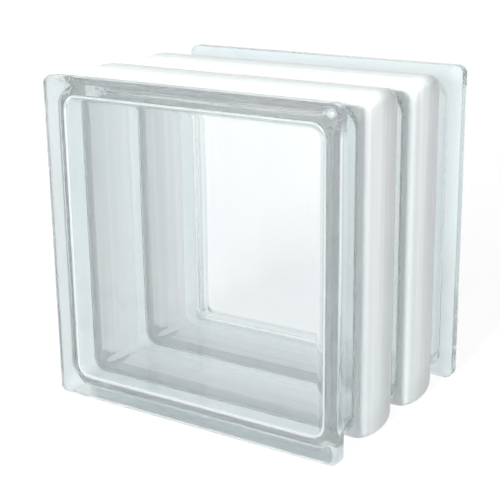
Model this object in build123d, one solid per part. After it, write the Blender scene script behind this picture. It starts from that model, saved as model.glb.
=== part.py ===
from build123d import *
import os

# Overall size of the block, as it stands on one edge with a clear face to the front
face_size = 190.0
block_depth = 150.0

# Outer corners and rims
corner_radius = 7.0
rim_radius = 4.0

# Flange behind each clear face
flange_width = 9.0
flange_shoulder_radius = 2.5

# Mortar key grooves round the four edges
groove_depth = 6.0
flank_run = 7.0
groove_foot_radius = 4.0
side_groove_floor = 12.5
middle_groove_floor = 7.0

# Two rounded ribs, one over each fused seam, share the depth that flanges and grooves leave
rib_crown = 1.6
rib_shoulder_radius = 9.0
key_depth = 6 * flank_run + 2 * side_groove_floor + middle_groove_floor
rib_width = (block_depth - 2 * flange_width - key_depth) / 2
rib_centre = flange_width + 2 * flank_run + side_groove_floor + rib_width / 2

# Hollow inside
pane_thickness = 9.0
wall_thickness = 10.5
hollow_corner_radius = 9.0
pane_fillet_radius = 7.0

# Low bead that each fused seam leaves on the inside of the walls
bead_width = 6.0
bead_height = 1.2


def rounded(face, points, radius):
    corners = [face.vertices().sort_by_distance(point)[0] for point in points]
    return fillet(corners, radius)


def outer_section():
    # Front half of the side profile: x runs outward from the corner axis, y back to mid-depth
    front = -block_depth / 2
    crest = corner_radius
    floor = corner_radius - groove_depth
    shoulder = corner_radius - rib_crown
    rib_middle = front + rib_centre
    rib_front = rib_middle - rib_width / 2
    rib_back = rib_middle + rib_width / 2

    rim = (crest, front)
    flange_edge = (crest, front + flange_width)
    flange_foot = (floor, front + flange_width + flank_run)
    rib_front_foot = (floor, rib_front - flank_run)
    rib_front_edge = (shoulder, rib_front)
    rib_top = (crest, rib_middle)
    rib_back_edge = (shoulder, rib_back)
    rib_back_foot = (floor, rib_back + flank_run)

    before = Polyline((0, front), rim, flange_edge, flange_foot, rib_front_foot, rib_front_edge)
    crown = ThreePointArc(rib_front_edge, rib_top, rib_back_edge)
    after = Polyline(rib_back_edge, rib_back_foot, (floor, 0), (0, 0), (0, front))
    half = make_face(before + crown + after)
    half = rounded(half, [rim], rim_radius)
    half = rounded(half, [flange_edge], flange_shoulder_radius)
    half = rounded(half, [flange_foot, rib_front_foot, rib_back_foot], groove_foot_radius)
    half = rounded(half, [rib_front_edge, rib_back_edge], rib_shoulder_radius)
    return half + mirror(half, Plane.XZ)


def hollow_section():
    # Front half of the hollow's profile, with the notch that the seam bead fills
    front = -block_depth / 2 + pane_thickness
    wall = hollow_corner_radius
    seam = -block_depth / 2 + rib_centre
    edge = (wall, front)
    bead_front = (wall, seam - bead_width / 2)
    bead_top = (wall - bead_height, seam)
    bead_back = (wall, seam + bead_width / 2)
    before = Polyline((0, front), edge, bead_front)
    bead = ThreePointArc(bead_front, bead_top, bead_back)
    after = Polyline(bead_back, (wall, 0), (0, 0), (0, front))
    half = make_face(before + bead + after)
    half = rounded(half, [edge], pane_fillet_radius)
    return half + mirror(half, Plane.XZ)


def square_form(section, core_size, core_depth):
    # Carry a side profile round a square: straight along each side and turned at each corner
    side = extrude(section, core_size, dir=(0, 0, 1))
    turn = revolve(section, Axis.Y, 90)
    quarter = Pos(core_size / 2, 0, -core_size / 2) * (side + turn)
    form = Box(core_size, core_depth, core_size)
    for count in range(4):
        form += quarter.rotate(Axis.Y, 90 * count)
    return form.clean()


outer = square_form(outer_section(), face_size - 2 * corner_radius, block_depth)
hollow_size = face_size - 2 * (wall_thickness + hollow_corner_radius)
hollow = square_form(hollow_section(), hollow_size, block_depth - 2 * pane_thickness)

# The fused block, standing on the lands of its lower edge
glass_block = Pos(0, 0, face_size / 2) * (outer - hollow)

os.makedirs("parts", exist_ok=True)
export_step(glass_block, "parts/glass_block.step")
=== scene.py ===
import bpy
import math
from mathutils import Matrix, Vector, noise


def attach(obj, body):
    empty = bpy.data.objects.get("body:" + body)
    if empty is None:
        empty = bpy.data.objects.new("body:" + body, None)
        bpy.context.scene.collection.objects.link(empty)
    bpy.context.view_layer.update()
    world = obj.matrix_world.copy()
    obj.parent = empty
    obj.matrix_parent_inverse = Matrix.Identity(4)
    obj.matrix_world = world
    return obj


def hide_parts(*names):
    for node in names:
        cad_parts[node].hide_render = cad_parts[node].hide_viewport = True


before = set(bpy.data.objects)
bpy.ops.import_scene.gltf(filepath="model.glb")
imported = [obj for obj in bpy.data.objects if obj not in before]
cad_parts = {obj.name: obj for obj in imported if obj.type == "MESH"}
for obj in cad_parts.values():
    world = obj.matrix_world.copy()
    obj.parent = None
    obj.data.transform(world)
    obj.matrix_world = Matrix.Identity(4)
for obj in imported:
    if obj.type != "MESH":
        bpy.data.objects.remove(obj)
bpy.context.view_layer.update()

scene = bpy.context.scene
scene.view_settings.view_transform = "Standard"
mm = 0.001  # the frame is in metres

glassBlock = dict(
    faceSize=190 * mm,
    depth=150 * mm,
    flangeCorner=5 * mm,     # corner radius at the rims
    ribCorner=6 * mm,        # corner radius at the rib crests
    grooveCorner=12 * mm,    # corner radius at the groove floors
    rimRadius=4 * mm,
    flangeWidth=9 * mm,
    flangeShoulder=2.5 * mm,
    grooveDepth=6 * mm,
    flankRun=7 * mm,
    grooveFoot=4 * mm,
    ribCentre=50 * mm,
    ribWidth=29 * mm,
    ribCrown=1.6 * mm,
    ribShoulder=9 * mm,
    paneThickness=9 * mm,
    wallThickness=10.5 * mm,
    hollowCorner=9 * mm,
    paneFillet=4 * mm,
    beadWidth=12 * mm,
    beadHeight=0.4 * mm,
    beadRadius=4 * mm,
    flangeStart=4.5 * mm,    # where the sheen of the flanges begins, from each face
    satinReach=20.5 * mm,    # how far the satin of a rib runs either way from its middle
    paneEdge=19 * mm,        # how far each profile reaches in over its panes
    leastCorner=1 * mm,
)

# unevenness that pressing leaves: size, then waves per metre along the side and across it
pressedWaves = dict(
    wall=dict(size=0.03 * mm, along=11, across=150),
    pane=dict(size=0.10 * mm, along=14, across=14),
    side=dict(size=0.16 * mm, along=9, across=40),
)
waveFade = dict(wallStart=0.9, wallRate=12, paneReach=1 * mm)  # where the inner waves die out

meshSteps = dict(
    arcStep=math.radians(6),
    leastArc=3,
    leastTurn=math.radians(1),
    outerStep=4 * mm,
    hollowStep=1.6 * mm,
    guard=0.35 * mm,         # short strip beside each rounding, so that flats shade flat
    corner=14,
    side=30,
    pane=20,
    crown=16,
    crownTrim=3,             # crown points that the shoulders' rounding takes up
)


def filletCorner(before, corner, after, radius):
    # points of the arc that rounds one corner of an outline
    toBefore = (before - corner).normalized()
    toAfter = (after - corner).normalized()
    turn = math.pi - toBefore.angle(toAfter)
    if radius <= 0 or turn < meshSteps["leastTurn"]:
        return [corner]
    reach = radius * math.tan(turn / 2)
    inward = (toBefore + toAfter).normalized()
    centre = corner + inward * (radius / math.cos(turn / 2))
    first = corner + toBefore * reach - centre
    last = corner + toAfter * reach - centre
    steps = max(meshSteps["leastArc"], round(turn / meshSteps["arcStep"]))
    arc = [centre + first + toBefore * meshSteps["guard"]]
    for step in range(steps + 1):
        share = step / steps
        weightFirst = math.sin((1 - share) * turn) / math.sin(turn)
        weightLast = math.sin(share * turn) / math.sin(turn)
        arc.append(centre + first * weightFirst + last * weightLast)
    arc.append(centre + last + toAfter * meshSteps["guard"])
    return arc


def roundedOutline(corners, longStep):
    # corners are (depth, inset, radius); long straight stretches are cut up
    flat = [Vector((depth, inset)) for depth, inset, radius in corners]
    points = [flat[0]]
    for index in range(1, len(flat) - 1):
        points += filletCorner(flat[index - 1], flat[index], flat[index + 1], corners[index][2])
    points.append(flat[-1])
    fine = [points[0]]
    for point in points[1:]:
        start = fine[-1]
        cuts = max(1, math.ceil((point - start).length / longStep))
        fine += [start.lerp(point, cut / cuts) for cut in range(1, cuts + 1)]
    return fine


def mirrored(half, depth):
    return half + [Vector((depth - point.x, point.y)) for point in reversed(half[:-1])]


def outerOutline(block):
    # side profile: flange, groove, crowned rib, groove, and the same again from the back
    floor = block["grooveDepth"]
    flangeEnd = block["flangeWidth"]
    ribFront = block["ribCentre"] - block["ribWidth"] / 2
    ribBack = block["ribCentre"] + block["ribWidth"] / 2
    corners = [
        (0, block["paneEdge"], 0),
        (0, 0, block["rimRadius"]),
        (flangeEnd, 0, block["flangeShoulder"]),
        (flangeEnd + block["flankRun"], floor, block["grooveFoot"]),
        (ribFront - block["flankRun"], floor, block["grooveFoot"]),
        (ribFront, block["ribCrown"], block["ribShoulder"]),
    ]
    trim = meshSteps["crownTrim"]
    for step in range(trim, meshSteps["crown"] + 1 - trim):
        along = 2 * step / meshSteps["crown"] - 1
        depth = block["ribCentre"] + along * block["ribWidth"] / 2
        corners.append((depth, block["ribCrown"] * along ** 2, 0))
    corners += [
        (ribBack, block["ribCrown"], block["ribShoulder"]),
        (ribBack + block["flankRun"], floor, block["grooveFoot"]),
        (block["depth"] / 2, floor, 0),
    ]
    return mirrored(roundedOutline(corners, meshSteps["outerStep"]), block["depth"])


def hollowOutline(block):
    wall = block["wallThickness"]
    seam = block["ribCentre"]
    corners = [
        (block["paneThickness"], wall + block["paneEdge"], 0),
        (block["paneThickness"], wall, block["paneFillet"]),
        (seam - block["beadWidth"] / 2, wall, block["beadRadius"]),
        (seam, wall + block["beadHeight"], block["beadRadius"]),
        (seam + block["beadWidth"] / 2, wall, block["beadRadius"]),
        (block["depth"] / 2, wall, 0),
    ]
    return mirrored(roundedOutline(corners, meshSteps["hollowStep"]), block["depth"])


def outerCorner(block, depth, inset):
    # rims keep an even offset, grooves grow rounder towards their floors
    fromFace = min(depth, block["depth"] - depth)
    if fromFace < block["flangeWidth"] / 2:
        return max(block["leastCorner"], block["flangeCorner"] - inset)
    onFlange = fromFace < block["flangeWidth"] + block["flankRun"]
    crestCorner = block["flangeCorner"] if onFlange else block["ribCorner"]
    share = (inset / block["grooveDepth"]) ** 2
    return crestCorner + share * (block["grooveCorner"] - crestCorner)


def hollowCorner(block, depth, inset):
    return max(block["leastCorner"], block["hollowCorner"] - (inset - block["wallThickness"]))


def squareRing(block, halfSide, radius, depth):
    # one rounded square at this depth, counted anticlockwise from the front
    flat = halfSide - radius
    ring = []
    for quarter in range(4):
        angle = quarter * math.pi / 2
        outward = Vector((math.cos(angle), 0, math.sin(angle)))
        along = Vector((-outward.z, 0, outward.x))
        for step in range(meshSteps["side"]):
            ring.append(outward * halfSide + along * (flat * (2 * step / meshSteps["side"] - 1)))
        pivot = (outward + along) * flat
        for step in range(meshSteps["corner"]):
            swing = math.pi / 2 * step / meshSteps["corner"]
            ring.append(pivot + (outward * math.cos(swing) + along * math.sin(swing)) * radius)
    middle = Vector((0, depth - block["depth"] / 2, block["faceSize"] / 2))
    return [point + middle for point in ring]


def squareLathe(block, outline, cornerAt):
    # carries an outline round the square and closes both ends with a pane
    rings = []
    for point in outline:
        halfSide = block["faceSize"] / 2 - point.y
        rings.append((halfSide, cornerAt(block, point.x, point.y), point.x))
    paneShares = [step / meshSteps["pane"] for step in range(1, meshSteps["pane"])]
    halfSide, radius, depth = rings[0]
    front = [(halfSide * share, radius * share, depth) for share in paneShares]
    halfSide, radius, depth = rings[-1]
    back = [(halfSide * share, radius * share, depth) for share in reversed(paneShares)]
    rings = front + rings + back
    verts = []
    for halfSide, radius, depth in rings:
        verts += squareRing(block, halfSide, radius, depth)
    count = len(verts) // len(rings)
    faces = []
    for ring in range(len(rings) - 1):
        for step in range(count):
            here = ring * count + step
            beside = ring * count + (step + 1) % count
            faces.append((here, here + count, beside + count, beside))
    for ring, turned in ((0, False), (len(rings) - 1, True)):
        centre = len(verts)
        verts.append(Vector((0, rings[ring][2] - block["depth"] / 2, block["faceSize"] / 2)))
        for step in range(count):
            pair = (ring * count + step, ring * count + (step + 1) % count)
            faces.append((centre,) + (pair[::-1] if turned else pair))
    return verts, faces


def waveAt(point, wave):
    spot = Vector((point.x * wave["along"], point.y * wave["across"], point.z * wave["along"]))
    return wave["size"] * noise.noise(spot)


def unevenHollow(block, verts):
    # the walls ripple inwards and outwards, the panes along the depth
    middle = Vector((0, 0, block["faceSize"] / 2))
    paneDepth = block["depth"] / 2 - block["paneThickness"]
    wallReach = block["faceSize"] / 2 - block["wallThickness"]
    moved = []
    for point in verts:
        outward = Vector((point.x, 0, point.z)) - middle
        wallShare = max(abs(outward.x), abs(outward.z)) / wallReach
        pastFillet = (paneDepth - abs(point.y)) / block["paneFillet"] - 1
        nearWall = min(1, max(0, wallShare - waveFade["wallStart"]) * waveFade["wallRate"])
        onWall = nearWall * min(1, max(0, pastFillet))
        onPane = 1 - min(1, (paneDepth - abs(point.y)) / waveFade["paneReach"])
        inPlane = outward.normalized() if outward.length > 0 else outward
        shift = inPlane * (waveAt(point, pressedWaves["wall"]) * onWall)
        shift.y += waveAt(point, pressedWaves["pane"]) * onPane
        moved.append(point + shift)
    return moved


def unevenSides(block, verts):
    # only the grooves and ribs wander, and only inwards: the lands stay flat
    middle = Vector((0, 0, block["faceSize"] / 2))
    moved = []
    for point in verts:
        outward = Vector((point.x, 0, point.z)) - middle
        fromFace = block["depth"] / 2 - abs(point.y)
        onKey = min(1, max(0, fromFace - block["flangeWidth"]) / block["flankRun"])
        sink = (pressedWaves["side"]["size"] + waveAt(point, pressedWaves["side"])) * onKey
        inPlane = outward.normalized() if outward.length > 0 else outward
        moved.append(point - inPlane * sink)
    return moved


outerVerts, outerFaces = squareLathe(glassBlock, outerOutline(glassBlock), outerCorner)
outerVerts = unevenSides(glassBlock, outerVerts)
hollowVerts, hollowFaces = squareLathe(glassBlock, hollowOutline(glassBlock), hollowCorner)
hollowVerts = unevenHollow(glassBlock, hollowVerts)
hollowStart = len(outerVerts)
hollowFaces = [tuple(hollowStart + index for index in reversed(face)) for face in hollowFaces]
mesh = bpy.data.meshes.new("glassBlockBody")
mesh.from_pydata(outerVerts + hollowVerts, [], outerFaces + hollowFaces)
mesh.update()
body = bpy.data.objects.new("glassBlockBody", mesh)
scene.collection.objects.link(body)
print("block mesh", len(mesh.vertices), "points", len(mesh.polygons), "faces")


def pressedRipple():
    # marks that pressing leaves: ripples run along each side, and a cloudiness lies over them
    marks = dict(rippleDetail=3, cloudScale=38, cloudDetail=4)
    group = bpy.data.node_groups.new("pressedRipple", "ShaderNodeTree")
    for socket in ("Along", "Across"):
        group.interface.new_socket(socket, in_out="INPUT", socket_type="NodeSocketFloat")
    for socket in ("Height", "Cloud"):
        group.interface.new_socket(socket, in_out="OUTPUT", socket_type="NodeSocketFloat")
    nodes = group.nodes
    links = group.links
    given = nodes.new("NodeGroupInput")
    result = nodes.new("NodeGroupOutput")
    place = nodes.new("ShaderNodeTexCoord")
    spread = nodes.new("ShaderNodeCombineXYZ")
    for axis, socket in (("X", "Along"), ("Y", "Across"), ("Z", "Along")):
        links.new(given.outputs[socket], spread.inputs[axis])
    stretched = nodes.new("ShaderNodeVectorMath")
    stretched.operation = "MULTIPLY"
    links.new(place.outputs["Object"], stretched.inputs[0])
    links.new(spread.outputs[0], stretched.inputs[1])
    ripple = nodes.new("ShaderNodeTexNoise")
    ripple.inputs["Scale"].default_value = 1
    ripple.inputs["Detail"].default_value = marks["rippleDetail"]
    links.new(stretched.outputs[0], ripple.inputs["Vector"])
    links.new(ripple.outputs["Fac"], result.inputs["Height"])
    cloud = nodes.new("ShaderNodeTexNoise")
    cloud.inputs["Scale"].default_value = marks["cloudScale"]
    cloud.inputs["Detail"].default_value = marks["cloudDetail"]
    links.new(place.outputs["Object"], cloud.inputs["Vector"])
    links.new(cloud.outputs["Fac"], result.inputs["Cloud"])
    return group


# the order of the finishes is the order of the material slots
glassFinishes = dict(
    clearGlass=dict(
        colours=((0.915, 0.925, 0.935, 1), (0.93, 0.937, 0.945, 1)),
        roughness=(0.0, 0.02),
        transmission=1,
        coat=0,
        along=12,
        across=60,
        bump=0.01 * mm,
    ),
    flangeSheen=dict(
        colours=((0.50, 0.60, 0.615, 1), (0.58, 0.665, 0.675, 1)),
        roughness=(0.14, 0.2),
        transmission=0.9,
        coat=0.3,
        along=10,
        across=60,
        bump=0.02 * mm,
    ),
    satinSide=dict(
        colours=((0.83, 0.91, 0.92, 1), (0.985, 0.997, 0.998, 1)),
        roughness=(0.55, 0.65),
        transmission=0.5,
        coat=0.8,
        along=4,
        across=300,
        bump=0.12 * mm,
    ),
    hollowWall=dict(
        colours=((0.87, 0.925, 0.935, 1), (0.97, 0.985, 0.988, 1)),
        roughness=(0.0, 0.03),
        transmission=1,
        coat=0,
        along=5,
        across=170,
        bump=0.08 * mm,
    ),
    # darker tint on the fillet round each pane inside the hollow: painted shade in that inner
    # corner, not a colour the glass has
    shadedFillet=dict(
        colours=((0.60, 0.685, 0.695, 1), (0.70, 0.77, 0.775, 1)),
        roughness=(0.0, 0.03),
        transmission=1,
        coat=0,
        along=5,
        across=170,
        bump=0.02 * mm,
    ),
)
glassFacts = dict(ior=1.52, coatRoughness=0.05, streakRange=(0.35, 0.65))
ripples = pressedRipple()


def glassMaterial(name, finish):
    material = bpy.data.materials.new(name)
    material.use_nodes = True
    nodes = material.node_tree.nodes
    links = material.node_tree.links
    shader = nodes["Principled BSDF"]
    shader.inputs["IOR"].default_value = glassFacts["ior"]
    shader.inputs["Transmission Weight"].default_value = finish["transmission"]
    shader.inputs["Coat Weight"].default_value = finish["coat"]
    shader.inputs["Coat Roughness"].default_value = glassFacts["coatRoughness"]
    marks = nodes.new("ShaderNodeGroup")
    marks.node_tree = ripples
    marks.inputs["Along"].default_value = finish["along"]
    marks.inputs["Across"].default_value = finish["across"]
    shade = nodes.new("ShaderNodeMix")
    shade.data_type = "RGBA"
    shade.inputs["A"].default_value, shade.inputs["B"].default_value = finish["colours"]
    streaks = nodes.new("ShaderNodeMapRange")
    lowStreak, highStreak = glassFacts["streakRange"]
    streaks.inputs["From Min"].default_value = lowStreak
    streaks.inputs["From Max"].default_value = highStreak
    links.new(marks.outputs["Height"], streaks.inputs["Value"])
    links.new(streaks.outputs[0], shade.inputs["Factor"])
    links.new(shade.outputs["Result"], shader.inputs["Base Color"])
    gloss = nodes.new("ShaderNodeMapRange")
    gloss.inputs["To Min"].default_value, gloss.inputs["To Max"].default_value = finish["roughness"]
    links.new(marks.outputs["Cloud"], gloss.inputs["Value"])
    links.new(gloss.outputs[0], shader.inputs["Roughness"])
    relief = nodes.new("ShaderNodeBump")
    relief.inputs["Strength"].default_value = 1
    relief.inputs["Distance"].default_value = finish["bump"]
    links.new(marks.outputs["Height"], relief.inputs["Height"])
    links.new(relief.outputs["Normal"], shader.inputs["Normal"])
    return material


def finishAt(block, centre, inHollow):
    # each face takes its finish from how far it lies behind the nearer clear face
    fromFace = block["depth"] / 2 - abs(centre.y)
    intoHollow = fromFace - block["paneThickness"]
    if inHollow:
        # faces on the fillet round each pane take the darker tint: painted shade in the corner
        onFillet = meshSteps["guard"] < intoHollow < block["paneFillet"]
        return "shadedFillet" if onFillet else "hollowWall"
    if abs(fromFace - block["ribCentre"]) < block["satinReach"]:
        return "satinSide"
    return "flangeSheen" if fromFace > block["flangeStart"] else "clearGlass"


for name, finish in glassFinishes.items():
    body.data.materials.append(glassMaterial(name, finish))
slotOf = {name: slot for slot, name in enumerate(glassFinishes)}
for face in mesh.polygons:
    inHollow = face.index >= len(outerFaces)
    face.material_index = slotOf[finishAt(glassBlock, face.center, inHollow)]
    face.use_smooth = True
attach(body, "root")
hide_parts("glass_block")
print("materials", [material.name for material in body.data.materials])


def seenMask(nodes, links):
    # 1 for rays that show the surroundings, 0 for those that only light a surface
    rays = nodes.new("ShaderNodeLightPath")
    seen = rays.outputs["Is Camera Ray"]
    for other in ("Is Glossy Ray", "Is Transmission Ray"):
        either = nodes.new("ShaderNodeMath")
        either.operation = "MAXIMUM"
        links.new(seen, either.inputs[0])
        links.new(rays.outputs[other], either.inputs[1])
        seen = either.outputs[0]
    return seen


studioFloor = dict(size=8.0, colour=0.15, glow=(0.92, 1.0), near=0.25, far=0.8, unseen=0.36)
reach = studioFloor["size"] / 2
floorMesh = bpy.data.meshes.new("studioFloor")
floorCorners = [(-reach, -reach, 0), (reach, -reach, 0), (reach, reach, 0), (-reach, reach, 0)]
floorMesh.from_pydata(floorCorners, [], [(0, 1, 2, 3)])
floor = bpy.data.objects.new("studioFloor", floorMesh)
scene.collection.objects.link(floor)
paleFloor = bpy.data.materials.new("paleFloor")
paleFloor.use_nodes = True
nodes = paleFloor.node_tree.nodes
links = paleFloor.node_tree.links
nodes.clear()
output = nodes.new("ShaderNodeOutputMaterial")
matte = nodes.new("ShaderNodeBsdfDiffuse")
matte.inputs["Color"].default_value = (studioFloor["colour"],) * 3 + (1,)
glow = nodes.new("ShaderNodeEmission")

# the floor brightens to plain white away from the block
place = nodes.new("ShaderNodeTexCoord")
away = nodes.new("ShaderNodeVectorMath")
away.operation = "LENGTH"
links.new(place.outputs["Object"], away.inputs[0])
rise = nodes.new("ShaderNodeMapRange")
rise.inputs["From Min"].default_value = studioFloor["near"]
rise.inputs["From Max"].default_value = studioFloor["far"]
rise.inputs["To Min"].default_value, rise.inputs["To Max"].default_value = studioFloor["glow"]
links.new(away.outputs["Value"], rise.inputs["Value"])
dim = nodes.new("ShaderNodeMapRange")
dim.inputs["To Min"].default_value = studioFloor["unseen"]
links.new(seenMask(nodes, links), dim.inputs["Value"])
strength = nodes.new("ShaderNodeMath")
strength.operation = "MULTIPLY"
links.new(rise.outputs[0], strength.inputs[0])
links.new(dim.outputs[0], strength.inputs[1])
links.new(strength.outputs[0], glow.inputs["Strength"])
both = nodes.new("ShaderNodeAddShader")
links.new(matte.outputs[0], both.inputs[0])
links.new(glow.outputs[0], both.inputs[1])
links.new(both.outputs[0], output.inputs["Surface"])
floor.data.materials.append(paleFloor)

studio = dict(ambient=0.2, seen=1.0)
world = bpy.data.worlds.new("studio")
scene.world = world
world.use_nodes = True
nodes = world.node_tree.nodes
links = world.node_tree.links
level = nodes.new("ShaderNodeMapRange")
level.inputs["To Min"].default_value = studio["ambient"]
level.inputs["To Max"].default_value = studio["seen"]
links.new(seenMask(nodes, links), level.inputs["Value"])
nodes["Background"].inputs["Color"].default_value = (1, 1, 1, 1)
links.new(level.outputs[0], nodes["Background"].inputs["Strength"])

softboxes = dict(
    front=dict(place=(0.17, -1.7, 0.45), size=0.4, watts=135),
    top=dict(place=(-0.2, 0.1, 1.5), size=1.2, watts=1),
)
target = Vector((0, 0, glassBlock["faceSize"] / 2))
for name, box in softboxes.items():
    light = bpy.data.lights.new(name + "Softbox", "AREA")
    light.shape = "SQUARE"
    light.size = box["size"]
    light.energy = box["watts"]
    lamp = bpy.data.objects.new(name + "Softbox", light)
    lamp.location = box["place"]
    lamp.rotation_euler = (target - lamp.location).to_track_quat("-Z", "Y").to_euler()
    scene.collection.objects.link(lamp)
print("studio", len(softboxes), "softboxes over the floor")

photoView = dict(
    eye=(378.4 * mm, -572.0 * mm, 294.7 * mm),
    azimuth=33.947,
    elevation=17.062,
    roll=-0.747,
    focalPixels=1225.85,
    framePixels=500,
    sensor=36,
    nearest=10 * mm,
)
cameraData = bpy.data.cameras.new("photoCamera")
camera = bpy.data.objects.new("photoCamera", cameraData)
scene.collection.objects.link(camera)
cameraData.sensor_width = photoView["sensor"]
cameraData.lens = photoView["focalPixels"] * photoView["sensor"] / photoView["framePixels"]
turn = Matrix.Rotation(math.radians(photoView["azimuth"]), 4, "Z")
tilt = Matrix.Rotation(math.radians(90 - photoView["elevation"]), 4, "X")
bank = Matrix.Rotation(math.radians(photoView["roll"]), 4, "Z")
camera.matrix_world = Matrix.Translation(photoView["eye"]) @ turn @ tilt @ bank
cameraData.clip_start = photoView["nearest"]
scene.camera = camera
print("camera lens", round(cameraData.lens, 2), "mm")

# light that stays inside the panes needs many reflections before it comes out
lightPaths = dict(longest=64, transmission=24, glossy=48, clamp=4)
scene.cycles.max_bounces = lightPaths["longest"]
scene.cycles.transmission_bounces = lightPaths["transmission"]
scene.cycles.glossy_bounces = lightPaths["glossy"]
scene.cycles.sample_clamp_indirect = lightPaths["clamp"]
scene.cycles.use_denoising = True
